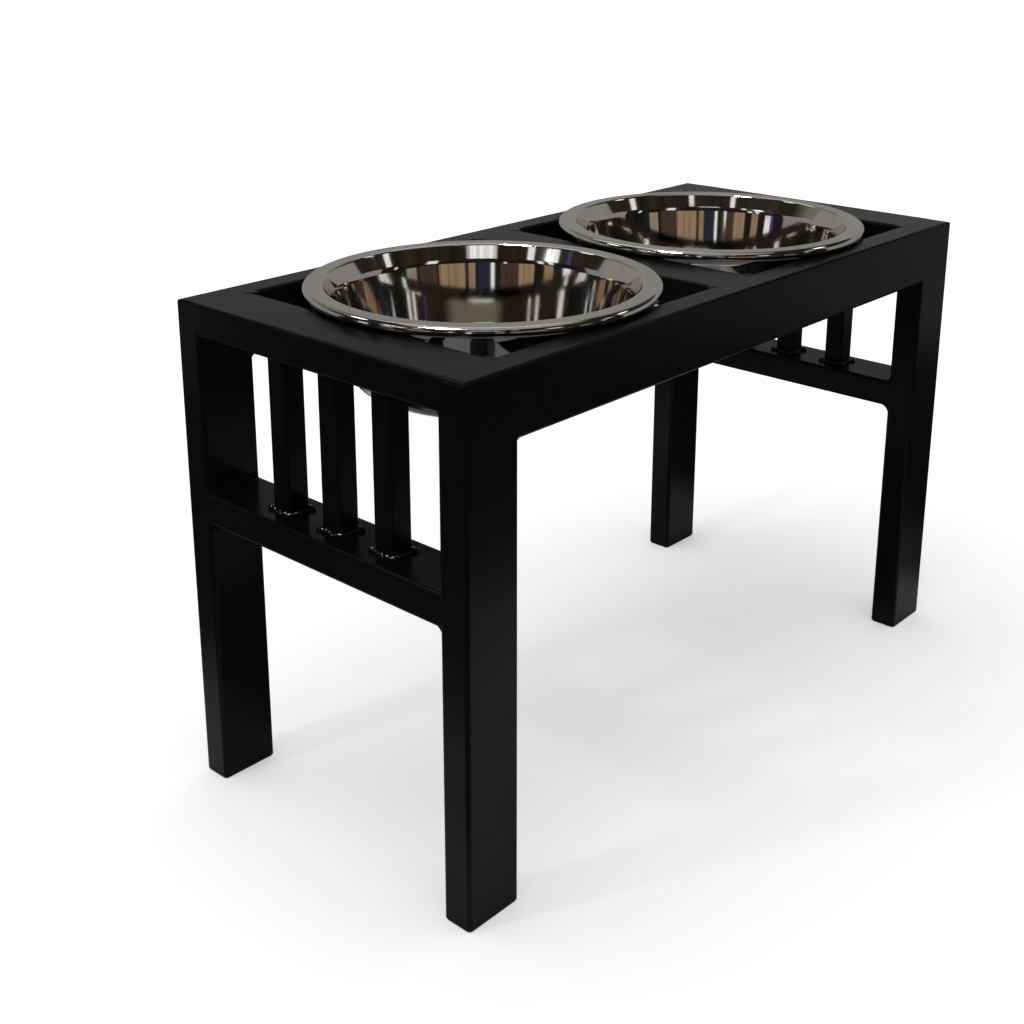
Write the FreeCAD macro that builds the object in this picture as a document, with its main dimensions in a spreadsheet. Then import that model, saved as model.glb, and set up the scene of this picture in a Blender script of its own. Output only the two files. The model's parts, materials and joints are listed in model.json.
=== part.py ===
import FreeCAD, Part
import math
import os

import Sketcher
from FreeCAD import Placement, Rotation, Vector

# Elevated dog feeder: a welded table of rectangular steel tube that carries two lift-out bowls.
# X runs along the length, Y across the depth and Z up, from the floor under the middle of the table.

DRIVING_SIZES = [
    # the table
    ("length", 660.4),
    ("depth", 304.8),
    ("height", 406.4),
    ("rail_under", 228.6),
    # the main tube, and the rounding of its mitred corners
    ("tube_wide", 50.8),
    ("tube_thin", 25.4),
    ("tube_wall", 1.9),
    ("tube_round", 3.0),
    ("corner_round", 4.0),
    # the slats
    ("slat_side", 19.05),
    ("slat_wall", 1.5),
    ("slat_round", 1.8),
    ("slat_pitch", 56.0),
    # the plugs in the legs' lower ends
    ("foot_head", 1.5),
    ("foot_inset", 0.8),
    ("plug_deep", 18.0),
    ("plug_wall", 1.6),
    ("plug_gap", 0.15),
    ("fin_reach", 1.2),
    ("fin_thick", 1.2),
    # the bowls
    ("rim_across", 279.4),
    ("rim_wide", 9.7),
    ("roll_across", 8.0),
    ("sheet", 0.9),
    ("mouth_bend", 12.0),
    ("bowl_deep", 84.0),
    ("floor_across", 166.0),
    ("floor_bend", 24.0),
    ("seat_gap", 0.3),
    # the welds
    ("weld_under", 8.0),
    ("weld_inner", 5.0),
    ("weld_small", 3.5),
    ("weld_hollow", 1.2),
    ("bead_half", 7.0),
    ("bead_rise", 3.5),
    # the least inner rounding, and how far a cutting outline runs past what it cuts
    ("least_round", 0.2),
    ("overcut", 5.0),
]

# Worked-out sizes
SPAN = "(dim.depth - 2 * dim.tube_thin)"
RAIL_TOP = "(dim.rail_under + dim.tube_thin)"
WINDOW = f"(dim.height - dim.tube_thin - {RAIL_TOP})"
LEG_LONG = "(dim.height - dim.foot_head)"
END_X = "(dim.length / 2 - dim.tube_wide / 2)"
SIDE_Y = "(dim.depth / 2 - dim.tube_thin / 2)"
OPENING_OUTER_X = "(dim.length / 2 - dim.tube_wide)"
OPENING_INNER_X = "(dim.tube_wide / 2)"
BOWL_X = f"(({OPENING_OUTER_X} + {OPENING_INNER_X}) / 2)"
FLAT_WIDE = "(dim.tube_wide - 2 * dim.tube_round)"
FLAT_THIN = "(dim.tube_thin - 2 * dim.tube_round)"
BORE_WIDE = "(dim.tube_wide - 2 * dim.tube_wall)"
BORE_THIN = "(dim.tube_thin - 2 * dim.tube_wall)"
BORE_ROUND = "max(dim.tube_round - dim.tube_wall; dim.least_round)"
MITRE_DIP = "(dim.corner_round * (1 - sqrt(0.5)))"

ENDS = {"left": -1, "right": 1}
SIDES = {"front": -1, "rear": 1}
CENTRE_LEFT, CENTRE_RIGHT = 1, -1

doc = FreeCAD.newDocument("elevated_dog_feeder")
dim = doc.addObject("Spreadsheet::Sheet", "dim")
for row, (alias, value) in enumerate(DRIVING_SIZES, start=1):
    dim.set(f"A{row}", alias)
    dim.set(f"B{row}", str(value))
    dim.setAlias(f"B{row}", alias)
doc.recompute()


def number(expression):
    return float(dim.evalExpression(expression))


# Sketch helpers

def new_body(label):
    body = doc.addObject("PartDesign::Body", label)
    body.Label = label
    return body


def new_sketch(body, role, lift=None):
    """A sketch on one of the body's origin planes, lifted along the plane's normal."""
    sketch = body.newObject("Sketcher::SketchObject", "outline")
    plane = next(p for p in body.Origin.OriginFeatures if p.Role == role)
    sketch.AttachmentSupport = [(plane, "")]
    sketch.MapMode = "FlatFace"
    if lift:
        sketch.setExpression("AttachmentOffset.Base.z", lift)
    return sketch


def bind(sketch, constraint, expression):
    index = sketch.addConstraint(constraint)
    name = f"size{index}"
    sketch.renameConstraint(index, name)
    sketch.setExpression(f"Constraints.{name}", expression)


def pin(sketch, geometry, point, x, y):
    """Holds a point at x, y from the sketch's origin; a plain 0 puts it on the axis."""
    for kind, axis, expression in (("DistanceX", -2, x), ("DistanceY", -1, y)):
        if expression == "0":
            sketch.addConstraint(Sketcher.Constraint("PointOnObject", geometry, point, axis))
        else:
            distance = Sketcher.Constraint(kind, -1, 1, geometry, point, number(expression))
            bind(sketch, distance, expression)


def arc_between(start, end, radius, side):
    """An arc of less than half a circle, its centre to the left or right of the way from start to end."""
    half = (end - start) * 0.5
    left = Vector(-half.y, half.x, 0).normalize()
    centre = start + half + left * (side * math.sqrt(radius ** 2 - half.Length ** 2))
    first, last = (start, end) if side == CENTRE_LEFT else (end, start)
    angles = [math.atan2(p.y - centre.y, p.x - centre.x) for p in (first, last)]
    if angles[1] < angles[0]:
        angles[1] += 2 * math.pi
    return Part.ArcOfCircle(Part.Circle(centre, Vector(0, 0, 1), radius), *angles)


def outline(sketch, corners, arcs=None):
    """A closed loop through the corners; arcs holds an edge's radius and side by the corner it leaves."""
    arcs = arcs or {}
    first = sketch.GeometryCount
    count = len(corners)
    points = [Vector(number(x), number(y), 0) for x, y in corners]
    starts, ends = [], []
    for i, point in enumerate(points):
        following = points[(i + 1) % count]
        if i in arcs:
            radius, side = arcs[i]
            geometry = sketch.addGeometry(arc_between(point, following, number(radius), side))
            bind(sketch, Sketcher.Constraint("Radius", geometry, number(radius)), radius)
            starts.append(1 if side == CENTRE_LEFT else 2)
        else:
            sketch.addGeometry(Part.LineSegment(point, following))
            starts.append(1)
        ends.append(3 - starts[-1])
    for i, (x, y) in enumerate(corners):
        j = (i + 1) % count
        sketch.addConstraint(Sketcher.Constraint("Coincident", first + i, ends[i], first + j, starts[j]))
        pin(sketch, first + i, starts[i], x, y)


def rounded_box(sketch, wide, tall, rounding):
    x, y, r = f"({wide}) / 2", f"({tall}) / 2", rounding
    corners = [
        (f"-({x}) + {r}", f"-({y})"), (f"{x} - {r}", f"-({y})"),
        (x, f"-({y}) + {r}"), (x, f"{y} - {r}"),
        (f"{x} - {r}", y), (f"-({x}) + {r}", y),
        (f"-({x})", f"{y} - {r}"), (f"-({x})", f"-({y}) + {r}"),
    ]
    outline(sketch, corners, {i: (r, CENTRE_LEFT) for i in (1, 3, 5, 7)})


def weld_corner(sketch, x, y, x_way, y_way, leg):
    """The hollow-faced section of a fillet weld in the inside corner at x, y."""
    corners = [(x, y), (f"{x} + {x_way} * {leg}", y), (x, f"{y} + {y_way} * {leg}")]
    side = CENTRE_RIGHT if x_way * y_way > 0 else CENTRE_LEFT
    outline(sketch, corners, {1: (f"dim.weld_hollow * {leg}", side)})


# Feature helpers

def pad(body, sketch, long, both_ways=False):
    feature = body.newObject("PartDesign::Pad", "bar")
    feature.Profile = sketch
    feature.SideType = "Symmetric" if both_ways else "One side"
    feature.setExpression("Length", long)
    return feature


def cut_through(body, sketch):
    feature = body.newObject("PartDesign::Pocket", "cut")
    feature.Profile = sketch
    feature.SideType = "Symmetric"
    feature.Type = "ThroughAll"


def tube(label, role, wide, tall, wall, rounding, long, both_ways=True):
    """A length of hollow tube whose section lies centred on an origin plane."""
    body = new_body(label)
    section = new_sketch(body, role)
    rounded_box(section, wide, tall, rounding)
    inner_round = f"max({rounding} - {wall}; dim.least_round)"
    rounded_box(section, f"{wide} - 2 * {wall}", f"{tall} - 2 * {wall}", inner_round)
    pad(body, section, long, both_ways)
    return body


def place(thing, x, y, z, turn=0):
    thing.Placement = Placement(Vector(), Rotation(Vector(0, 0, 1), turn))
    for axis, expression in zip("xyz", (x, y, z)):
        thing.setExpression(f"Placement.Base.{axis}", expression)


def cut_by(label, blank, tools):
    """Cuts the blank back by each tool in turn; the result carries the label."""
    for tool in tools:
        result = doc.addObject("Part::Cut", f"{label}_cut")
        result.Base = blank
        result.Tool = tool
        blank = result
    blank.Label = label
    return blank


# Pieces

def make_leg(label, end, side):
    """A leg on end, with a 45 degree mitre at its top that falls away towards the table's middle."""
    body = tube(label, "XY_Plane", "dim.tube_wide", "dim.tube_thin", "dim.tube_wall", "dim.tube_round",
                LEG_LONG, both_ways=False)
    half = "dim.tube_wide / 2"
    mitre = new_sketch(body, "XZ_Plane")
    corners = [
        (f"-({half})", f"{LEG_LONG} - dim.corner_round"),
        (f"-({half}) + {MITRE_DIP}", f"{LEG_LONG} - {MITRE_DIP}"),
        (f"{half} + dim.overcut", f"{LEG_LONG} - dim.tube_wide - dim.overcut"),
        (f"{half} + dim.overcut", f"{LEG_LONG} + dim.overcut"),
        (f"-({half}) - dim.overcut", f"{LEG_LONG} + dim.overcut"),
        (f"-({half}) - dim.overcut", f"{LEG_LONG} - dim.corner_round"),
    ]
    outline(mitre, corners, {0: ("dim.corner_round", CENTRE_RIGHT)})
    cut_through(body, mitre)
    place(body, f"{end} * {END_X}", f"{side} * {SIDE_Y}", "dim.foot_head", turn=0 if end < 0 else 180)
    return body


def make_apron(label, side):
    """A long side of the table top, on edge, mitred to meet a leg at each end."""
    body = tube(label, "YZ_Plane", "dim.tube_thin", "dim.tube_wide", "dim.tube_wall", "dim.tube_round",
                "dim.length")
    half = "dim.tube_wide / 2"
    mitres = new_sketch(body, "XZ_Plane")
    for end in ENDS.values():
        tip = f"{end} * (dim.length / 2"
        corners = [
            (f"{tip} - dim.corner_round)", half),
            (f"{tip} - {MITRE_DIP})", f"{half} - {MITRE_DIP}"),
            (f"{tip} - dim.tube_wide - dim.overcut)", f"-({half}) - dim.overcut"),
            (f"{tip} + dim.overcut)", f"-({half}) - dim.overcut"),
            (f"{tip} + dim.overcut)", f"{half} + dim.overcut"),
            (f"{tip} - dim.corner_round)", f"{half} + dim.overcut"),
        ]
        outline(mitres, corners, {0: ("dim.corner_round", -end)})
    cut_through(body, mitres)
    place(body, "0", f"{side} * {SIDE_Y}", f"dim.height - {half}")
    return body


def make_cross_tube(label, x, z, tools):
    """A flat-lying tube from front to rear, its ends coped over the rounded edges of what they meet."""
    blank = tube(f"{label}_blank", "XZ_Plane", "dim.tube_wide", "dim.tube_thin", "dim.tube_wall",
                 "dim.tube_round", f"{SPAN} + 2 * dim.tube_wall")
    place(blank, x, "0", z)
    return cut_by(label, blank, tools)


def make_slat(label, end, step):
    body = tube(label, "XY_Plane", "dim.slat_side", "dim.slat_side", "dim.slat_wall", "dim.slat_round",
                WINDOW, both_ways=False)
    place(body, f"{end} * {END_X}", f"{step} * dim.slat_pitch", RAIL_TOP)
    return body


def make_foot_plug(label, end, side):
    """A moulded cup pushed into a leg's open end: a head under the tube and three gripping fins inside."""
    body = new_body(label)
    head = new_sketch(body, "XY_Plane")
    rounded_box(head, "dim.tube_wide - 2 * dim.foot_inset", "dim.tube_thin - 2 * dim.foot_inset",
                "dim.tube_round")
    pad(body, head, "dim.foot_head")
    inset = "(dim.plug_gap + dim.fin_reach)"
    cup = new_sketch(body, "XY_Plane", "dim.foot_head")
    rounded_box(cup, f"{BORE_WIDE} - 2 * {inset}", f"{BORE_THIN} - 2 * {inset}", BORE_ROUND)
    rounded_box(cup, f"{BORE_WIDE} - 2 * {inset} - 2 * dim.plug_wall",
                f"{BORE_THIN} - 2 * {inset} - 2 * dim.plug_wall", BORE_ROUND)
    pad(body, cup, "dim.plug_deep")
    flange = new_sketch(body, "XY_Plane", "dim.foot_head + dim.plug_deep / 6")
    rounded_box(flange, f"{BORE_WIDE} - 2 * dim.plug_gap", f"{BORE_THIN} - 2 * dim.plug_gap", BORE_ROUND)
    rounded_box(flange, f"{BORE_WIDE} - 2 * {inset} - 2 * dim.plug_wall",
                f"{BORE_THIN} - 2 * {inset} - 2 * dim.plug_wall", BORE_ROUND)
    fin = pad(body, flange, "dim.fin_thick")
    fins = body.newObject("PartDesign::LinearPattern", "fins")
    fins.Originals = [fin]
    fins.Direction = (next(a for a in body.Origin.OriginFeatures if a.Role == "Z_Axis"), [""])
    fins.Occurrences = 3
    fins.setExpression("Length", "dim.plug_deep * 2 / 3")
    body.Tip = fins
    place(body, f"{end} * {END_X}", f"{side} * {SIDE_Y}", "0")
    return body


def make_bowl_section():
    """Half of the bowl's section: a path along its upper face, thickened outwards to the sheet."""
    path = doc.addObject("Sketcher::SketchObject", "bowl_path")
    path.Placement = Placement(Vector(), Rotation(Vector(1, 0, 0), 90))
    roll = number("dim.roll_across / 2")
    roll_x = number("dim.rim_across / 2") - roll
    mouth, mouth_bend = number("dim.rim_across / 2 - dim.rim_wide"), number("dim.mouth_bend")
    floor, floor_bend = number("dim.floor_across / 2"), number("dim.floor_bend")
    deep = number("dim.bowl_deep")
    wall_foot = Vector(floor + floor_bend, floor_bend - deep, 0)
    wall_head = Vector(mouth - mouth_bend, -mouth_bend, 0)

    def bow(x, y, radius, start, end):
        circle = Part.Circle(Vector(x, y, 0), Vector(0, 0, 1), radius)
        return Part.ArcOfCircle(circle, math.radians(start), math.radians(end))

    base = path.addGeometry(Part.LineSegment(Vector(0, -deep, 0), Vector(floor, -deep, 0)))
    heel = path.addGeometry(bow(floor, floor_bend - deep, floor_bend, -90, 0))
    wall = path.addGeometry(Part.LineSegment(wall_foot, wall_head))
    lip = path.addGeometry(bow(mouth, -mouth_bend, mouth_bend, 90, 180))
    rim = path.addGeometry(Part.LineSegment(Vector(mouth, 0, 0), Vector(roll_x, 0, 0)))
    edge = path.addGeometry(bow(roll_x, -roll, roll, -180, 90))
    joins = [(base, 2, heel, 1), (heel, 2, wall, 1), (wall, 2, lip, 2), (lip, 1, rim, 1), (rim, 2, edge, 2)]
    for join in joins:
        path.addConstraint(Sketcher.Constraint("Tangent", *join))
    path.addConstraint(Sketcher.Constraint("Horizontal", base))
    path.addConstraint(Sketcher.Constraint("Horizontal", rim))
    path.addConstraint(Sketcher.Constraint("PointOnObject", base, 1, -2))
    path.addConstraint(Sketcher.Constraint("PointOnObject", rim, 1, -1))
    path.addConstraint(Sketcher.Constraint("Horizontal", edge, 1, edge, 3))
    bind(path, Sketcher.Constraint("DistanceY", -1, 1, base, 1, -deep), "-dim.bowl_deep")
    bind(path, Sketcher.Constraint("DistanceX", -1, 1, base, 2, floor), "dim.floor_across / 2")
    bind(path, Sketcher.Constraint("DistanceX", -1, 1, rim, 1, mouth), "dim.rim_across / 2 - dim.rim_wide")
    bind(path, Sketcher.Constraint("DistanceX", -1, 1, edge, 3, roll_x),
         "dim.rim_across / 2 - dim.roll_across / 2")
    bind(path, Sketcher.Constraint("Radius", heel, floor_bend), "dim.floor_bend")
    bind(path, Sketcher.Constraint("Radius", lip, mouth_bend), "dim.mouth_bend")
    bind(path, Sketcher.Constraint("Radius", edge, roll), "dim.roll_across / 2")
    section = doc.addObject("Part::Offset2D", "bowl_section")
    section.Source = path
    section.Mode = "Skin"
    section.Join = "Intersection"
    section.Fill = True
    section.setExpression("Value", "-dim.sheet")
    return section


def make_bowl(label, section, end):
    """A bowl spun round the middle of its opening, its rolled edge just over the table top."""
    bowl = doc.addObject("Part::Revolution", label)
    bowl.Label = label
    bowl.Source = section
    bowl.Axis = Vector(0, 0, 1)
    bowl.Angle = 360
    bowl.Solid = True
    place(bowl, f"{end} * {BOWL_X}", "0", "dim.height + dim.seat_gap + dim.roll_across")
    return bowl


# Welds

def make_rail_welds(label, x, corners):
    """Fillet welds that run along X in the inside corners at the two ends of cross tubes."""
    body = new_body(label)
    section = new_sketch(body, "YZ_Plane")
    for side in SIDES.values():
        for z, z_way, leg in corners:
            weld_corner(section, f"{side} * {SPAN} / 2", z, -side, z_way, leg)
    pad(body, section, FLAT_WIDE, both_ways=True)
    place(body, x, "0", "0")
    return body


def make_apron_welds(label, side):
    body = new_body(label)
    section = new_sketch(body, "XZ_Plane")
    for end in ENDS.values():
        weld_corner(section, f"{end} * {OPENING_OUTER_X}", "dim.height - dim.tube_wide", -end, -1,
                    "dim.weld_inner")
    pad(body, section, FLAT_THIN, both_ways=True)
    place(body, "0", f"{side} * {SIDE_Y}", "0")
    return body


def make_opening_welds(label):
    body = new_body(label)
    section = new_sketch(body, "XY_Plane")
    for end in ENDS.values():
        for side in SIDES.values():
            for x, x_way in ((OPENING_OUTER_X, -end), (OPENING_INNER_X, end)):
                weld_corner(section, f"{end} * {x}", f"{side} * {SPAN} / 2", x_way, -side, "dim.weld_small")
    pad(body, section, FLAT_THIN, both_ways=True)
    place(body, "0", "0", "dim.height - dim.tube_thin / 2")
    return body


def make_slat_welds(label, end):
    """Beads round the feet of three slats: a quarter spindle on each of a slat's four sides."""
    body = new_body(label)
    spindle = new_sketch(body, "YZ_Plane", "dim.slat_side / 2")
    radius = "(dim.bead_half ^ 2 + dim.bead_rise ^ 2) / (2 * dim.bead_rise)"
    outline(spindle, [("-dim.bead_half", "0"), ("dim.bead_half", "0")], {1: (radius, CENTRE_LEFT)})
    bead = body.newObject("PartDesign::Revolution", "bead")
    bead.Profile = spindle
    bead.ReferenceAxis = (spindle, ["H_Axis"])
    bead.Angle = 90
    axes = {a.Role: a for a in body.Origin.OriginFeatures}
    around = body.newObject("PartDesign::PolarPattern", "around")
    around.Axis = (axes["Z_Axis"], [""])
    around.Angle = 360
    around.Occurrences = 4
    along = body.newObject("PartDesign::LinearPattern", "along")
    along.Direction = (axes["Y_Axis"], [""])
    along.Occurrences = 3
    along.setExpression("Length", "2 * dim.slat_pitch")
    beads = body.newObject("PartDesign::MultiTransform", "beads")
    beads.Originals = [bead]
    beads.Transformations = [around, along]
    body.Tip = beads
    place(body, f"{end} * {END_X}", "-dim.slat_pitch", RAIL_TOP)
    return body


# The table

legs = {(e, s): make_leg(f"leg_{s}_{e}", ENDS[e], SIDES[s]) for e in ENDS for s in SIDES}
aprons = {s: make_apron(f"apron_{s}", SIDES[s]) for s in SIDES}
nodes = [*legs.values(), *aprons.values()]
bowl_section = make_bowl_section()
top_z = "dim.height - dim.tube_thin / 2"
low_z = "dim.rail_under + dim.tube_thin / 2"
under_top = ("dim.height - dim.tube_thin", -1, "dim.weld_inner")
rail_corners = [("dim.rail_under", -1, "dim.weld_under"), (RAIL_TOP, 1, "dim.weld_inner"), under_top]
for e, end in ENDS.items():
    end_x = f"{end} * {END_X}"
    end_legs = [legs[e, s] for s in SIDES]
    nodes.append(make_cross_tube(f"end_rail_top_{e}", end_x, top_z, [*end_legs, *aprons.values()]))
    nodes.append(make_cross_tube(f"end_rail_lower_{e}", end_x, low_z, end_legs))
    for name, step in (("front", -1), ("middle", 0), ("rear", 1)):
        nodes.append(make_slat(f"slat_{e}_{name}", end, step))
    for s, side in SIDES.items():
        nodes.append(make_foot_plug(f"foot_plug_{s}_{e}", end, side))
    nodes.append(make_bowl(f"bowl_{e}", bowl_section, end))
    nodes.append(make_rail_welds(f"rail_welds_{e}", end_x, rail_corners))
    nodes.append(make_slat_welds(f"slat_welds_{e}", end))
nodes.append(make_cross_tube("centre_bar", "0", top_z, list(aprons.values())))
nodes.append(make_rail_welds("centre_bar_welds", "0", [under_top]))
for s, side in SIDES.items():
    nodes.append(make_apron_welds(f"apron_welds_{s}", side))
nodes.append(make_opening_welds("opening_welds"))

# Build, check and write

doc.recompute()
for thing in doc.Objects:
    if {"Invalid", "Error"} & set(thing.State):
        raise RuntimeError(f"{thing.Label} failed: {thing.State}")
for node in nodes:
    if node.Shape.isNull() or not node.Shape.isValid():
        raise RuntimeError(f"{node.Label} has no valid shape")

os.makedirs("parts", exist_ok=True)
for node in nodes:
    node.Shape.exportStep(f"parts/{node.Label}.step")
    print(f"{node.Label}: {len(node.Shape.Solids)} solid(s), {node.Shape.Volume / 1000:.1f} cm3")
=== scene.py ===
import json
import math

import bpy
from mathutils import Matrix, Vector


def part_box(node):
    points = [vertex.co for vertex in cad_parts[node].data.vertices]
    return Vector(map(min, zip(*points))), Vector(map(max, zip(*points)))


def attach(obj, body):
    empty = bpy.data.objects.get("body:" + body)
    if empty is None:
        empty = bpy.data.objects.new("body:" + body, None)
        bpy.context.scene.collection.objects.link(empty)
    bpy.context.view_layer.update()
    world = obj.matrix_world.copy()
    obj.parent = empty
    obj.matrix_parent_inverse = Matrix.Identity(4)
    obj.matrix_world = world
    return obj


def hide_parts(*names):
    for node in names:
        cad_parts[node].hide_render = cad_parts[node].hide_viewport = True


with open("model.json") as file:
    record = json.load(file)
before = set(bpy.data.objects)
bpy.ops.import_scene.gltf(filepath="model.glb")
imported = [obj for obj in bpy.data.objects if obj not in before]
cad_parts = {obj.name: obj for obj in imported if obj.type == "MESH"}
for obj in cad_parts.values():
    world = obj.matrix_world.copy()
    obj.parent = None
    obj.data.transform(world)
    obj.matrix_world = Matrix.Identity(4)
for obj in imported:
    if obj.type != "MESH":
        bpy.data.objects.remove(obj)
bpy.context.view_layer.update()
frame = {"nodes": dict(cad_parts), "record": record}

# The camera stands off the front left corner and looks down on the table.
CAMERA_AT = (-0.9404, -0.7481, 0.6887)
CAMERA_HEADING = 42.33
CAMERA_DIP = 16.50
LENS = 50.8
FILM_WIDE = 36.0
FRAMING = -0.17
NEAREST = 0.01

# How far each bowl's axis stands from the table's middle, and how high the rims' flat tops are.
left_bowl_low, left_bowl_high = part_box("bowl_left")
BOWL_FROM_CENTRE = -(left_bowl_low[0] + left_bowl_high[0]) / 2
RIM_TOP = left_bowl_high[2]

# A bowl's upper face in section, in millimetres from its axis and from its rim's top.
BOWL_DEEP, FLOOR_RADIUS, HEEL_BEND = 84.0, 83.0, 24.0
WALL_LEAN, LIP_LEAN, LIP_DEEP, CREASE = 11.65, 27.0, 13.5, 1.6
MOUTH_RADIUS, MOUTH_BEND = 125.5, 2.5
ROLL_FROM_AXIS, ROLL_BEND, SHEET = 135.7, 4.0, 0.9
MILLIMETRE = 0.001

# The coat's roughness and index of refraction, on the tube and where it has flowed over a weld.
SATIN_COAT = (0.22, 1.2)
COAT_OVER_WELDS = (0.12, 1.4)

# The puddles of weld round a slat's foot, in metres: how many to a side, their spacing and lift, how far out
# they lie, how big they are, and how much these two change from one to the next.
PUDDLES, PUDDLE_PITCH, PUDDLE_LIFT = 5, 0.0043, 0.0004
PUDDLE_OUT, PUDDLE_WANDER = 0.0006, 0.0005
PUDDLE_SIZE, PUDDLE_SWELL = 0.0026, 0.0006
# The blobs where the torch starts and stops: along the rail, across it, and size.
BLOBS = ((-0.0092, 0.0128, 0.0026), (-0.0072, 0.0138, 0.0018), (0.0098, -0.0124, 0.0027),
         (0.0080, -0.0140, 0.0017), (-0.0128, -0.0030, 0.0021), (0.0126, 0.0052, 0.0019))
BLOB_LIFT = 0.0007
BEAD_GRAIN = 0.0005
BEAD_IN_SLAT, BEAD_IN_RAIL = 0.0004, 0.0003

# The crown of weld at a corner of an opening.
NUB_RADIUS, NUB_SHAPE, NUB_IN_TOP, NUB_SWELL = 0.0044, (1.15, 0.9, 0.09), 0.0005, 0.12

# A weld that is ground flush: its width, its thickness, how far its middle rises and its sides sink, how far
# past the rail's end it lies, and the tube's rounded edge, where it stops.
GROUND_WIDE, GROUND_THICK, GROUND_RISE, GROUND_SINK = 0.0056, 0.0006, 0.00002, 0.00006
GROUND_PAST_RAIL, TUBE_EDGE = 0.0005, 0.0032

# The glowing boards that stand round the table and show only in mirrors, as painted reflections of a room:
# bearing from, bearing to, distance, foot, top, colour.
DARK = (0.011, 0.010, 0.009)
RED_BROWN = (0.022, 0.0165, 0.012)
TAN = (0.31, 0.21, 0.13)
BROWN = (0.060, 0.040, 0.027)
BLUE = (0.055, 0.06, 0.16)
WINDOW = (1.0, 1.0, 1.0)
BOARDS = {
    "far_board": (-50, 135, 1.35, 0.0, 0.955, (0.265, 0.257, 0.243)),
    "far_board_middle": (6, 120, 1.35, 0.955, 1.63, (0.19, 0.175, 0.14)),
    "far_board_left": (120, 135, 1.35, 0.955, 1.63, RED_BROWN),
    "far_board_right": (-50, 6, 1.35, 0.955, 1.63, RED_BROWN),
    "far_board_top": (-50, 135, 1.35, 1.63, 1.9, RED_BROWN),
    "far_high_window": (26, 80, 1.0, 1.24, 1.88, WINDOW),
    "far_small_window": (319, 323, 1.30, 1.15, 1.36, WINDOW),
    "near_board": (135, 310, 1.35, 0.0, 1.05, DARK),
    "near_board_top": (135, 310, 1.35, 1.05, 1.9, RED_BROWN),
    "right_pale_bar": (274, 283, 1.30, 0.45, 0.66, (0.30, 0.25, 0.20)),
    "right_brown_bar": (256, 271, 1.30, 0.44, 0.78, BROWN),
    "right_tan_bar": (233, 254, 1.30, 0.44, 0.78, TAN),
    "middle_tan_bar": (225, 230, 1.30, 0.44, 0.78, TAN),
    "blue_bar": (213, 223, 1.30, 0.44, 0.86, (0.020, 0.024, 0.042)),
    "middle_window": (210, 213, 1.30, 0.45, 0.80, WINDOW),
    "left_brown_bar": (193, 206, 1.30, 0.44, 0.78, BROWN),
    "left_tan_bar": (180, 192, 1.30, 0.44, 0.78, TAN),
    "left_thin_tan_bar": (165, 172, 1.30, 0.44, 0.78, TAN),
    "left_window": (150, 157, 1.30, 0.45, 0.66, WINDOW),
    "left_blue_window": (147, 150, 1.30, 0.45, 0.66, BLUE),
    "wall_window": (200.5, 203, 1.29, 0.69, 0.88, WINDOW),
    "low_left_window": (163, 167.5, 1.29, 0.86, 1.08, WINDOW),
    "low_middle_window": (171, 176, 1.29, 0.86, 1.10, WINDOW),
    "low_right_window": (256, 266, 1.29, 0.90, 1.20, WINDOW),
    "high_window": (207, 233, 1.30, 1.42, 1.62, WINDOW),
    "high_left_window": (176, 182, 1.30, 1.25, 1.50, WINDOW),
    "high_far_left_window": (156, 162, 1.30, 1.15, 1.40, WINDOW),
    "high_blue_window": (146, 149, 1.30, 1.0, 1.3, BLUE),
    "high_right_window": (303, 309, 1.30, 1.10, 1.36, WINDOW),
    "high_thin_window": (293, 296, 1.30, 0.75, 0.95, WINDOW),
    "top_left_window": (188, 194, 1.29, 1.70, 1.89, WINDOW),
    "top_right_window": (238, 244, 1.29, 1.72, 1.89, WINDOW),
}
EVEN_STREAKS, STRONG_STREAKS = 0.08, 0.7
SOFT_BOARD, SOFT_WINDOW = 0.9, 0.6
CEILING_HIGH, CEILING_RADIUS = 1.9, 1.6

# Bright cards under the ceiling: bearing, climb from the rims in degrees, distance, radius, strength.
CARDS = {
    "left_card": (118, 44, 1.2, 0.16, 4.0),
    "right_card": (334, 40, 1.2, 0.12, 4.0),
    "weld_card": (165, 68, 0.55, 0.16, 120.0),
    "overhead_card": (0, 89.2, 0.02, 0.80, 0.35),
}

# The floor, and the two ways along which mirrors show it with painted shade, darker than it is: bearing, wide
# and narrow half angles, depth.
GROUND_RADIUS = 6.0
FLOOR_WHITE, FLOOR_PAINTED_SHADE = (0.82, 0.82, 0.82, 1), (0.01, 0.01, 0.01, 1)
PAINTED_SHADE_WAYS = ((213, 38, 18, 0.9), (0, 45, 15, 0.97))
# By distance from the table's middle: from, to, and the level at either end.
GLOW_TO_CAMERA = (0.4, 1.5, 0.36, 0.62)
# The floor's painted shade in mirrored rays: under the table, far off, and where the two ways begin.
PAINTED_SHADE_UNDER_TABLE = (0.20, 0.33, 0.9, 0.0)
PAINTED_SHADE_FAR_OFF = (0.38, 0.64, 0.0, 0.98)
WAYS_START = (0.40, 0.48, 0.0, 1.0)
# Painted shade in mirrors by how steeply a mirrored ray comes down: from, to, and the level at either end.
PAINTED_SHADE_STEEPLY = (0.63, 0.75, 0.0, 0.85)
PAINTED_SHADE_CAP = (0.40, 0.52, 0.98, 0.85)

# The lamps: place, size, power, and whether the steel and the coat mirror them.
LAMPS = {
    "lamp_overhead": ((-0.2, 0.1, 1.9), 1.4, 12.0, False),
    "lamp_left": ((-1.5, 0.4, 1.4), 0.10, 3.0, True),
}
LAMPS_AIM_AT = 0.3
SKY_ON_MATT, SKY_IN_MIRRORS = 0.6, 1.0


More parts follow.
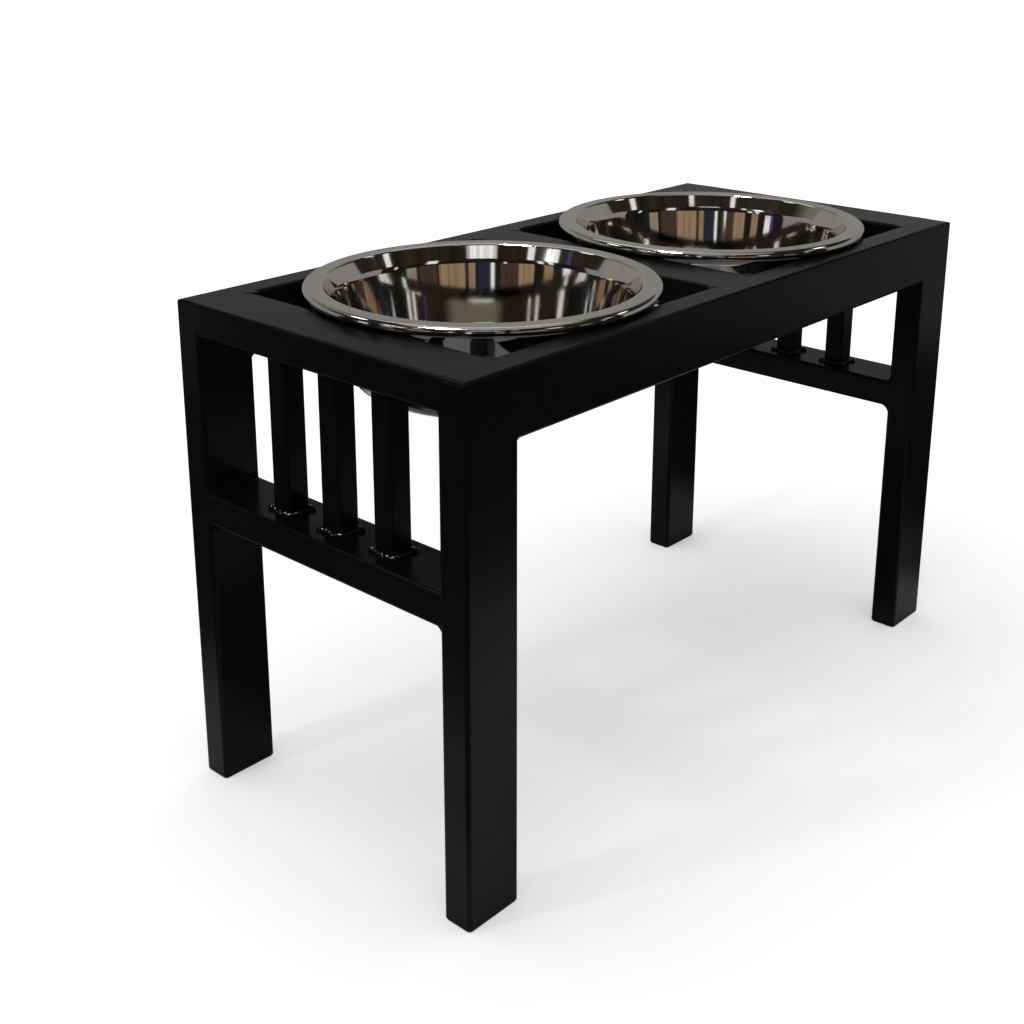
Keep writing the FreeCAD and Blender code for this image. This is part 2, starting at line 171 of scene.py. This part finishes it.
def put(tree, kind, inputs=None, **settings):
    """Adds a node, sets it up, and gives each input a value or a link from another node."""
    made = tree.nodes.new(kind)
    for name, value in settings.items():
        setattr(made, name, value)
    for name, value in (inputs or {}).items():
        if isinstance(value, bpy.types.NodeSocket):
            tree.links.new(value, made.inputs[name])
        else:
            made.inputs[name].default_value = value
    return made


def reckon(tree, operation, *values):
    """The result of one sum on values or links."""
    return put(tree, "ShaderNodeMath", dict(enumerate(values)), operation=operation).outputs["Value"]


def spread(tree, value, start, stop, low, high, way="LINEAR"):
    """A value between two limits, spread between two others."""
    limits = {"Value": value, "From Min": start, "From Max": stop, "To Min": low, "To Max": high}
    return put(tree, "ShaderNodeMapRange", limits, interpolation_type=way).outputs["Result"]


def ease(tree, value, start, stop, low, high):
    """The same with a gentle start and end."""
    return spread(tree, value, start, stop, low, high, way="SMOOTHSTEP")


def blend(tree, share, first, second):
    """A colour between two, by a share."""
    mixed = put(tree, "ShaderNodeMix", {"Factor": share, "A": first, "B": second}, data_type="RGBA")
    return mixed.outputs["Result"]


def raised(tree, height, strength, deep):
    """The surface's lean where a pattern raises it."""
    bump = put(tree, "ShaderNodeBump", {"Height": height, "Strength": strength, "Distance": deep})
    return bump.outputs["Normal"]


def new_material(name):
    """An empty node material, and its tree."""
    material = bpy.data.materials.new(name)
    material.use_nodes = True
    material.node_tree.nodes.clear()
    return material, material.node_tree


def place_on(tree):
    """The place on the piece, which the patterns read."""
    return put(tree, "ShaderNodeTexCoord").outputs["Object"]


def finish_material(material, tree, shader):
    """Sends a shader to the surface."""
    out = put(tree, "ShaderNodeOutputMaterial")
    tree.links.new(shader, out.inputs["Surface"])
    return material


def new_group(name, inputs, outputs):
    """An empty shader node group with named float or vector sockets, and its two end nodes."""
    group = bpy.data.node_groups.new(name, "ShaderNodeTree")
    for socket, (kind, value) in inputs.items():
        made = group.interface.new_socket(socket, in_out="INPUT", socket_type=kind)
        if value is not None:
            made.default_value = value
    for socket, kind in outputs.items():
        group.interface.new_socket(socket, in_out="OUTPUT", socket_type=kind)
    start = group.nodes.new("NodeGroupInput")
    end = group.nodes.new("NodeGroupOutput")
    return group, start, end


def make_sprayed_skin():
    """The pebbled skin that a sprayed or moulded black finish has, and its slow drift in tone."""
    group, start, end = new_group(
        "Sprayed skin",
        {"Vector": ("NodeSocketVector", None), "Pebble": ("NodeSocketFloat", 700.0),
         "Drift": ("NodeSocketFloat", 9.0)},
        {"Height": "NodeSocketFloat", "Tone": "NodeSocketFloat"},
    )
    pebble = put(group, "ShaderNodeTexNoise", {
        "Vector": start.outputs["Vector"], "Scale": start.outputs["Pebble"],
        "Detail": 2.0, "Roughness": 0.45})
    drift = put(group, "ShaderNodeTexNoise", {
        "Vector": start.outputs["Vector"], "Scale": start.outputs["Drift"],
        "Detail": 5.0, "Roughness": 0.6})
    group.links.new(pebble.outputs["Fac"], end.inputs["Height"])
    group.links.new(drift.outputs["Fac"], end.inputs["Tone"])
    return group


def make_hand_marks():
    """Faint smears from handling, as a mask."""
    group, start, end = new_group(
        "Hand marks",
        {"Vector": ("NodeSocketVector", None), "Size": ("NodeSocketFloat", 22.0),
         "Least": ("NodeSocketFloat", 0.5)},
        {"Mask": "NodeSocketFloat"},
    )
    smear = put(group, "ShaderNodeTexNoise", {
        "Vector": start.outputs["Vector"], "Scale": start.outputs["Size"],
        "Detail": 6.0, "Roughness": 0.62, "Distortion": 1.4})
    mask = spread(group, smear.outputs["Fac"], start.outputs["Least"], 0.85, 0.0, 1.0)
    group.links.new(mask, end.inputs["Mask"])
    return group


sprayed_skin = make_sprayed_skin()
hand_marks = make_hand_marks()


def use_group(tree, group, place, **values):
    """A shared effect at a place, with its values set on its sockets."""
    return put(tree, "ShaderNodeGroup", {"Vector": place, **values}, node_tree=group)


def make_powder_coat(name, dull, index):
    """Black powder coat: satin over the tube, and glossier where it has flowed over a weld."""
    material, tree = new_material(name)
    place = place_on(tree)
    skin = use_group(tree, sprayed_skin, place, Pebble=620.0, Drift=7.0)
    marks = use_group(tree, hand_marks, place, Size=16.0)
    tone = blend(tree, skin.outputs["Tone"], (0.0020, 0.0020, 0.0022, 1), (0.0046, 0.0045, 0.0045, 1))
    gloss = spread(tree, skin.outputs["Tone"], 0.25, 0.75, dull - 0.03, dull + 0.03)
    dulled = reckon(tree, "MULTIPLY_ADD", marks.outputs["Mask"], 0.06, gloss)
    normal = raised(tree, skin.outputs["Height"], 0.6, 0.00004)
    shader = put(tree, "ShaderNodeBsdfPrincipled", {
        "Base Color": tone, "Roughness": dulled, "Normal": normal, "IOR": index})
    return finish_material(material, tree, shader.outputs["BSDF"])


def make_polished_steel():
    """Mirror-polished stainless steel with the faint rings that spinning and buffing leave."""
    material, tree = new_material("polished steel")
    place = place_on(tree)
    along = put(tree, "ShaderNodeSeparateXYZ", {"Vector": place})
    from_centre = reckon(tree, "ABSOLUTE", along.outputs["X"])
    across = reckon(tree, "SUBTRACT", from_centre, BOWL_FROM_CENTRE)
    flat = put(tree, "ShaderNodeCombineXYZ", {"X": across, "Y": along.outputs["Y"]})
    radius = put(tree, "ShaderNodeVectorMath", {0: flat.outputs["Vector"]}, operation="LENGTH")
    ring = reckon(tree, "ADD", radius.outputs["Value"], along.outputs["Z"])
    rings = put(tree, "ShaderNodeTexNoise", {"W": ring, "Scale": 1400.0, "Detail": 3.0, "Roughness": 0.7},
                noise_dimensions="1D")
    marks = use_group(tree, hand_marks, place, Size=30.0)
    tone = blend(tree, marks.outputs["Mask"], (0.75, 0.73, 0.695, 1), (0.67, 0.65, 0.62, 1))
    ringed = spread(tree, rings.outputs["Fac"], 0.3, 0.7, 0.045, 0.075)
    dulled = reckon(tree, "MULTIPLY_ADD", marks.outputs["Mask"], 0.07, ringed)
    normal = raised(tree, rings.outputs["Fac"], 0.15, 0.00001)
    shader = put(tree, "ShaderNodeBsdfPrincipled", {
        "Base Color": tone, "Metallic": 1.0, "Roughness": dulled, "Normal": normal})
    return finish_material(material, tree, shader.outputs["BSDF"])


def make_plug_plastic():
    """Moulded black plastic with a fine spark grain and scuffs from the floor."""
    material, tree = new_material("plug plastic")
    place = place_on(tree)
    skin = use_group(tree, sprayed_skin, place, Pebble=2600.0, Drift=60.0)
    marks = use_group(tree, hand_marks, place, Size=140.0)
    tone = blend(tree, skin.outputs["Tone"], (0.018, 0.018, 0.018, 1), (0.034, 0.034, 0.033, 1))
    scuffed = blend(tree, marks.outputs["Mask"], tone, (0.075, 0.073, 0.07, 1))
    gloss = spread(tree, skin.outputs["Tone"], 0.0, 1.0, 0.52, 0.68)
    normal = raised(tree, skin.outputs["Height"], 0.5, 0.00006)
    shader = put(tree, "ShaderNodeBsdfPrincipled", {
        "Base Color": scuffed, "Roughness": gloss, "Normal": normal, "Specular IOR Level": 0.4})
    return finish_material(material, tree, shader.outputs["BSDF"])


def make_board_paint(name, colour, streaks=0.0, soft=0.0):
    """A board's own glow in upright streaks, fading by a share towards both ends."""
    material, tree = new_material(name)
    flat = put(tree, "ShaderNodeTexCoord").outputs["UV"]
    along = put(tree, "ShaderNodeSeparateXYZ", {"Vector": flat}).outputs["X"]
    shade = put(tree, "ShaderNodeTexNoise", {"W": along, "Scale": 9.0, "Detail": 3.0, "Roughness": 0.7},
                noise_dimensions="1D")
    level = spread(tree, shade.outputs["Fac"], 0.25, 0.75, 1.0 - streaks, 1.0 + streaks)
    off_middle = reckon(tree, "ABSOLUTE", reckon(tree, "SUBTRACT", along, 0.5))
    fade = ease(tree, off_middle, 0.28, 0.5, 1.0, 1.0 - soft)
    strength = reckon(tree, "MULTIPLY", level, fade)
    glow = put(tree, "ShaderNodeEmission", {"Color": (*colour, 1), "Strength": strength})
    return finish_material(material, tree, glow.outputs["Emission"])


def make_card_paint(name, strength):
    """A card's glow, which the first mirror that meets it shows and a mirrored mirror doesn't."""
    material, tree = new_material(name)
    path = put(tree, "ShaderNodeLightPath")
    first = reckon(tree, "LESS_THAN", path.outputs["Ray Depth"], 1.5)
    level = reckon(tree, "MULTIPLY", first, strength)
    glow = put(tree, "ShaderNodeEmission", {"Color": (1, 1, 1, 1), "Strength": level})
    return finish_material(material, tree, glow.outputs["Emission"])


def painted_shade_in_mirrors(tree, place, distance):
    """Painted shade in mirrors: how much darker steel and coat show the floor, under the table, far from it,
    along two ways, and steeply.
    """
    under = ease(tree, distance, *PAINTED_SHADE_UNDER_TABLE)
    far_off = ease(tree, distance, *PAINTED_SHADE_FAR_OFF)
    dim = reckon(tree, "ADD", under, far_off)
    outside = ease(tree, distance, *WAYS_START)
    heading = put(tree, "ShaderNodeVectorMath", {0: place}, operation="NORMALIZE").outputs["Vector"]
    for bearing, wide, narrow, deep in PAINTED_SHADE_WAYS:
        way = (math.cos(math.radians(bearing)), math.sin(math.radians(bearing)), 0)
        toward = put(tree, "ShaderNodeVectorMath", {0: heading, 1: way}, operation="DOT_PRODUCT")
        edges = math.cos(math.radians(wide)), math.cos(math.radians(narrow))
        sector = ease(tree, toward.outputs["Value"], *edges, 0.0, deep)
        dim = reckon(tree, "MAXIMUM", dim, reckon(tree, "MULTIPLY", sector, outside))
    # Painted shade by the mirrored ray's direction: the floor shows darker where the ray comes down steeply,
    # up to a cap.
    incoming = put(tree, "ShaderNodeNewGeometry").outputs["Incoming"]
    slope = put(tree, "ShaderNodeSeparateXYZ", {"Vector": incoming}).outputs["Z"]
    steep = ease(tree, slope, *PAINTED_SHADE_STEEPLY)
    deepest = ease(tree, slope, *PAINTED_SHADE_CAP)
    return reckon(tree, "MINIMUM", reckon(tree, "MAXIMUM", dim, steep), deepest)


def make_floor_paint():
    """Matt white floor that reads as white to the camera and takes the table's shadow, with painted shade
    where steel and coat mirror it.
    """
    material, tree = new_material("floor paint")
    place = place_on(tree)
    distance = put(tree, "ShaderNodeVectorMath", {0: place}, operation="LENGTH").outputs["Value"]
    path = put(tree, "ShaderNodeLightPath")
    lift = ease(tree, distance, *GLOW_TO_CAMERA)
    seen = reckon(tree, "MULTIPLY", path.outputs["Is Camera Ray"], lift)
    glow = put(tree, "ShaderNodeEmission", {"Color": (1, 1, 1, 1), "Strength": seen})
    # Painted shade: in mirrored rays the floor's colour is blended towards near black, under the table, far
    # off, along two ways and for steep rays.
    mirrored = reckon(tree, "MULTIPLY", path.outputs["Is Glossy Ray"], painted_shade_in_mirrors(tree, place, distance))
    matt = put(tree, "ShaderNodeBsdfDiffuse", {"Color": blend(tree, mirrored, FLOOR_WHITE, FLOOR_PAINTED_SHADE)})
    both = put(tree, "ShaderNodeAddShader", {0: matt.outputs["BSDF"], 1: glow.outputs["Emission"]})
    return finish_material(material, tree, both.outputs["Shader"])


def coat_the_nodes():
    """Gives every CAD node the finish of its kind."""
    finishes = {
        "powder_coat": make_powder_coat("powder coat", *SATIN_COAT),
        "polished_steel": make_polished_steel(),
        "plug": make_plug_plastic(),
    }
    for row in frame["record"]["subparts"]:
        shown = frame["nodes"][row["node"]]
        for slot in shown.material_slots:
            slot.material = finishes[row["material_slot"]]
    return finishes


def select_only(*pieces):
    """Selects these pieces and nothing else, and works on the first."""
    bpy.ops.object.select_all(action="DESELECT")
    for piece in pieces:
        piece.select_set(True)
    if pieces:
        bpy.context.view_layer.objects.active = pieces[0]


def edit_all():
    """Opens the active piece for shaping, with all of it selected."""
    bpy.ops.object.mode_set(mode="EDIT")
    bpy.ops.mesh.select_all(action="SELECT")


def close_edit():
    """Ends the shaping."""
    bpy.ops.object.mode_set(mode="OBJECT")


def gather(pieces, name):
    """Joins pieces into one whose place is in its mesh."""
    select_only(*pieces)
    if len(pieces) > 1:
        bpy.ops.object.join()
    joined = bpy.context.object
    joined.name = name
    bpy.ops.object.transform_apply(location=True, rotation=True, scale=True)
    return joined


def copy_to(model, at, turn=(0, 0, 0), size=1.0):
    """A copy of a piece, with a mesh of its own, stood somewhere else."""
    made = model.copy()
    made.data = model.data.copy()
    bpy.context.scene.collection.objects.link(made)
    made.location = at
    made.rotation_euler = turn
    made.scale = (size, size, size)
    return made


def apply_modifier(piece, kind, **settings):
    """Adds a modifier to the piece, sets it up and applies it."""
    select_only(piece)
    step = piece.modifiers.new(kind.lower(), kind)
    for name, value in settings.items():
        setattr(step, name, value)
    bpy.ops.object.modifier_apply(modifier=step.name)


def cut_below(piece, level):
    """Cuts a piece off flat under a level, and closes the cut."""
    select_only(piece)
    edit_all()
    bpy.ops.mesh.bisect(plane_co=(0, 0, level), plane_no=(0, 0, 1), use_fill=True, clear_inner=True)
    bpy.ops.mesh.select_all(action="SELECT")
    bpy.ops.mesh.normals_make_consistent(inside=False)
    close_edit()
    bpy.ops.object.shade_smooth_by_angle(angle=math.radians(50))


def finish_weld(piece, coat):
    """Coats a weld like the tube and lets it ride with the stand."""
    piece.data.materials.clear()
    piece.data.materials.append(coat)
    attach(piece, "stand")


def arc(centre, radius, start, stop, steps):
    """Points along a bend of the section, with angles in degrees."""
    angles = [math.radians(start + (stop - start) * step / steps) for step in range(steps + 1)]
    return [(centre[0] + radius * math.cos(angle), centre[1] + radius * math.sin(angle)) for angle in angles]


def run(start, stop, steps):
    """Points between the ends of a straight stretch, close to each end so that the bends stay crisp."""
    shares = [0.02] + [step / steps for step in range(1, steps)] + [0.98]
    out, up = stop[0] - start[0], stop[1] - start[1]
    return [(start[0] + out * share, start[1] + up * share) for share in shares]


def bowl_section():
    """The section's points from the middle of the floor out to the end of the rolled edge."""
    wall, lip = math.tan(math.radians(WALL_LEAN)), math.tan(math.radians(LIP_LEAN))
    middle = (0.0, -BOWL_DEEP)
    heel = arc((FLOOR_RADIUS, HEEL_BEND - BOWL_DEEP), HEEL_BEND, -90, -WALL_LEAN, 16)
    mouth = arc((MOUTH_RADIUS, -MOUTH_BEND), MOUTH_BEND, 180 - LIP_LEAN, 90, 8)
    roll = arc((ROLL_FROM_AXIS, -ROLL_BEND), ROLL_BEND, 90, -180, 28)
    crease_radius = mouth[0][0] - (LIP_DEEP + mouth[0][1]) * lip
    crease = [(crease_radius - CREASE * wall, -LIP_DEEP - CREASE),
              (crease_radius + CREASE * lip, -LIP_DEEP + CREASE)]
    points = [middle] + run(middle, heel[0], 4) + heel + run(heel[-1], crease[0], 8) + crease
    return points + run(crease[1], mouth[0], 3) + mouth + run(mouth[-1], roll[0], 3) + roll


def spin_bowls(steel):
    """Spins the left bowl's section round its axis, thickens the sheet and copies it to the right."""
    axis = (-BOWL_FROM_CENTRE, 0, 0)
    section = [(axis[0] + out * MILLIMETRE, 0, RIM_TOP + up * MILLIMETRE) for out, up in bowl_section()]
    select_only()
    bpy.ops.mesh.primitive_plane_add(size=0.01, location=(0, 0, 0))
    bowl = bpy.context.object
    bowl.name = "steel_bowl_left"
    edit_all()
    bpy.ops.mesh.merge(type="CENTER")
    bpy.ops.transform.translate(value=section[0])
    for here, there in zip(section, section[1:]):
        step = tuple(end - start for start, end in zip(here, there))
        bpy.ops.mesh.extrude_region_move(TRANSFORM_OT_translate={"value": step})
    bpy.ops.mesh.select_all(action="SELECT")
    bpy.ops.mesh.spin(steps=256, angle=math.tau, center=axis, axis=(0, 0, 1))
    bpy.ops.mesh.select_all(action="SELECT")
    bpy.ops.mesh.remove_doubles(threshold=0.000002)
    bpy.ops.mesh.normals_make_consistent(inside=False)
    close_edit()
    lowest = min(bowl.data.polygons, key=lambda face: face.center.z)
    if lowest.normal.z < 0:
        edit_all()
        bpy.ops.mesh.flip_normals()
        close_edit()
    apply_modifier(bowl, "SOLIDIFY", thickness=SHEET * MILLIMETRE, offset=-1)
    bpy.ops.object.shade_smooth_by_angle(angle=math.radians(40))
    bowl.data.materials.append(steel)
    twin = gather([copy_to(bowl, (2 * BOWL_FROM_CENTRE, 0, 0))], "steel_bowl_right")
    for piece, end in ((bowl, "left"), (twin, "right")):
        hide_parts(f"bowl_{end}")
        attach(piece, f"bowl_{end}")


def drop_puddle(at, size):
    """One round puddle of weld."""
    bpy.ops.mesh.primitive_ico_sphere_add(subdivisions=3, radius=size, location=at)
    return bpy.context.object


def lay_slat_beads(coat):
    """Lumpy beads round the slats' feet, with a blob where each run of the torch starts and stops."""
    slat_low, slat_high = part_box("slat_left_middle")
    half = (slat_high[0] - slat_low[0]) / 2
    rail_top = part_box("end_rail_lower_left")[1][2]
    select_only()
    puddles = []
    for side in range(4):
        turn = math.radians(90 * side)
        for step in range(PUDDLES):
            along = PUDDLE_PITCH * (step - PUDDLES // 2)
            out = half + PUDDLE_OUT + PUDDLE_WANDER * math.cos(2.3 * step + 1.3 * side)
            at = (out * math.cos(turn) - along * math.sin(turn),
                  out * math.sin(turn) + along * math.cos(turn), PUDDLE_LIFT)
            puddles.append(drop_puddle(at, PUDDLE_SIZE + PUDDLE_SWELL * math.sin(1.9 * step + 2.1 * side)))
    for x, y, size in BLOBS:
        puddles.append(drop_puddle((x, y, BLOB_LIFT), size))
    bead = gather(puddles, "slat_bead")
    apply_modifier(bead, "REMESH", mode="VOXEL", voxel_size=BEAD_GRAIN)
    apply_modifier(bead, "SMOOTH", factor=0.5, iterations=4)
    select_only()
    bpy.ops.mesh.primitive_cube_add(size=2 * (half - BEAD_IN_SLAT))
    slat_core = bpy.context.object
    apply_modifier(bead, "BOOLEAN", object=slat_core, operation="DIFFERENCE", solver="EXACT")
    bpy.data.objects.remove(slat_core)
    cut_below(bead, -BEAD_IN_RAIL)
    for end, start in (("left", 0.0), ("right", math.pi)):
        copies = []
        for place, turn in (("front", 0.0), ("middle", math.pi), ("rear", 0.0)):
            low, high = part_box(f"slat_{end}_{place}")
            foot = ((low[0] + high[0]) / 2, (low[1] + high[1]) / 2, rail_top)
            copies.append(copy_to(bead, foot, turn=(0, 0, start + turn)))
        beads = gather(copies, f"slat_beads_{end}")
        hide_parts(f"slat_welds_{end}")
        finish_weld(beads, coat)
    bpy.data.objects.remove(bead)


def lay_corner_nubs(coat):
    """The crown of weld that stands on the table top at each corner of the two openings."""
    table_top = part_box("apron_front")[1][2]
    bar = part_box("centre_bar")[1][0]
    rail = -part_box("end_rail_top_left")[1][0]
    side = -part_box("apron_front")[1][1]
    select_only()
    bpy.ops.mesh.primitive_ico_sphere_add(subdivisions=4, radius=NUB_RADIUS)
    nub = bpy.context.object
    edit_all()
    bpy.ops.transform.resize(value=NUB_SHAPE)
    close_edit()
    cut_below(nub, -NUB_IN_TOP)
    corners = [(end * place, depth * side) for end in (-1, 1) for place in (bar, rail) for depth in (-1, 1)]
    copies = []
    for corner, (x, y) in enumerate(corners):
        grown = 1.0 + NUB_SWELL * math.sin(2.7 * corner)
        copies.append(copy_to(nub, (x, y, table_top), turn=(0, 0, 0.8 * corner), size=grown))
    finish_weld(gather(copies, "opening_corner_nubs"), coat)
    bpy.data.objects.remove(nub)


def find_seams():
    """The seams that are welded and ground: the middle of each, how its face is turned, and its length."""
    seam = -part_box("end_rail_lower_left")[0][1] + GROUND_PAST_RAIL
    up, seams = (0, 0, 0), []
    for end, outward in (("left", -1), ("right", 1)):
        out, back = (0, outward * math.pi / 2, 0), (0, -outward * math.pi / 2, 0)
        for rail in ("end_rail_top", "end_rail_lower"):
            low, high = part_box(f"{rail}_{end}")
            outer, inner = (low[0], high[0]) if outward < 0 else (high[0], low[0])
            middle, level = (low[0] + high[0]) / 2, (low[2] + high[2]) / 2
            across, upright = high[0] - low[0] - 2 * TUBE_EDGE, high[2] - low[2] - 2 * TUBE_EDGE
            for depth in (-seam, seam):
                if rail == "end_rail_top":
                    seams.append(((middle, depth, high[2]), up, across))
                seams.append(((outer, depth, level), out, upright))
                if rail == "end_rail_lower":
                    seams.append(((inner, depth, level), back, upright))
    low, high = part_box("centre_bar")
    return seams + [((0, depth, high[2]), up, high[0] - low[0] - 2 * TUBE_EDGE) for depth in (-seam, seam)]


def lay_ground_welds(coat):
    """Butt welds ground flush, which close the seams between the rails' ends and the legs and aprons."""
    strips = []
    for at, turn, length in find_seams():
        select_only()
        bpy.ops.mesh.primitive_grid_add(x_subdivisions=2, y_subdivisions=8, size=1)
        strip = bpy.context.object
        edit_all()
        bpy.ops.transform.resize(value=(length, GROUND_WIDE, 1))
        bpy.ops.transform.translate(value=(0, 0, GROUND_RISE))
        bpy.ops.mesh.select_all(action="DESELECT")
        close_edit()
        for point in strip.data.vertices:
            point.select = abs(point.co.y) > 0.48 * GROUND_WIDE
        bpy.ops.object.mode_set(mode="EDIT")
        bpy.ops.transform.translate(value=(0, 0, -GROUND_SINK))
        close_edit()
        apply_modifier(strip, "SOLIDIFY", thickness=GROUND_THICK, offset=-1)
        bpy.ops.object.shade_smooth_by_angle(angle=math.radians(30))
        strip.location = at
        strip.rotation_euler = turn
        strips.append(strip)
    finish_weld(gather(strips, "ground_welds"), coat)


def lay_floor():
    """A wide round floor under the feet."""
    select_only()
    bpy.ops.mesh.primitive_circle_add(vertices=96, radius=GROUND_RADIUS, fill_type="NGON", location=(0, 0, 0))
    floor = bpy.context.object
    floor.name = "floor"
    floor.data.materials.append(make_floor_paint())


def hang(board, name, paint):
    """Makes a board show only in what the steel and the coat mirror."""
    board.name = name
    board.data.materials.append(paint)
    board.visible_camera = False
    board.visible_diffuse = False
    board.visible_shadow = False


def stand_boards():
    """Curved glowing boards round the table and a glowing ceiling, which show only in mirrors as painted
    reflections of a room, and bright cards under the ceiling.
    """
    for name, (start, stop, away, foot, top, colour) in BOARDS.items():
        select_only()
        bpy.ops.mesh.primitive_grid_add(x_subdivisions=24, y_subdivisions=1, size=1)
        board = bpy.context.object
        for point in board.data.vertices:
            bearing = math.radians(start + (point.co.x + 0.5) * (stop - start))
            height = foot + (point.co.y + 0.5) * (top - foot)
            point.co = (away * math.cos(bearing), away * math.sin(bearing), height)
        streaks = EVEN_STREAKS if name.startswith("far") else STRONG_STREAKS
        soft = SOFT_BOARD if name == "far_board_middle" else SOFT_WINDOW if colour == WINDOW else 0.0
        hang(board, name, make_board_paint(name, colour, streaks, soft))
    bpy.ops.mesh.primitive_circle_add(vertices=48, radius=CEILING_RADIUS, fill_type="NGON",
                                      location=(0, 0, CEILING_HIGH))
    hang(bpy.context.object, "ceiling", make_board_paint("ceiling", RED_BROWN))
    for name, (bearing, climb, away, radius, strength) in CARDS.items():
        bearing = math.radians(bearing)
        height = RIM_TOP + away * math.tan(math.radians(climb))
        at = (away * math.cos(bearing), away * math.sin(bearing), height)
        bpy.ops.mesh.primitive_circle_add(vertices=32, radius=radius, fill_type="NGON", location=at)
        hang(bpy.context.object, name, make_card_paint(name, strength))


def light_the_set():
    """White surroundings and two soft lamps."""
    world = bpy.data.worlds.new("studio")
    bpy.context.scene.world = world
    world.use_nodes = True
    tree = world.node_tree
    tree.nodes.clear()
    path = put(tree, "ShaderNodeLightPath")
    shown = reckon(tree, "MAXIMUM", path.outputs["Is Camera Ray"], path.outputs["Is Glossy Ray"])
    shown = reckon(tree, "MAXIMUM", shown, path.outputs["Is Transmission Ray"])
    level = spread(tree, shown, 0.0, 1.0, SKY_ON_MATT, SKY_IN_MIRRORS)
    sky = put(tree, "ShaderNodeBackground", {"Color": (1, 1, 1, 1), "Strength": level})
    put(tree, "ShaderNodeOutputWorld", {"Surface": sky.outputs["Background"]})
    for name, (at, size, power, mirrored) in LAMPS.items():
        light = bpy.data.lights.new(name, "AREA")
        light.shape = "SQUARE"
        light.size = size
        light.energy = power
        lamp = bpy.data.objects.new(name, light)
        bpy.context.scene.collection.objects.link(lamp)
        lamp.location = at
        away = lamp.location.copy()
        away.z -= LAMPS_AIM_AT
        lamp.rotation_euler = away.to_track_quat("Z", "Y").to_euler()
        lamp.visible_glossy = mirrored


def place_camera():
    """The main camera."""
    lens = bpy.data.cameras.new("camera")
    lens.lens = LENS
    lens.sensor_width = FILM_WIDE
    lens.shift_y = FRAMING
    lens.clip_start = NEAREST
    camera = bpy.data.objects.new("camera", lens)
    camera.location = CAMERA_AT
    camera.rotation_euler = (math.radians(90 - CAMERA_DIP), 0, math.radians(CAMERA_HEADING - 90))
    bpy.context.scene.collection.objects.link(camera)
    bpy.context.scene.camera = camera


finishes = coat_the_nodes()
spin_bowls(finishes["polished_steel"])
lay_slat_beads(make_powder_coat("powder coat over welds", *COAT_OVER_WELDS))
lay_corner_nubs(finishes["powder_coat"])
lay_ground_welds(finishes["powder_coat"])
lay_floor()
stand_boards()
light_the_set()
place_camera()
bpy.context.scene.view_settings.view_transform = "Standard"
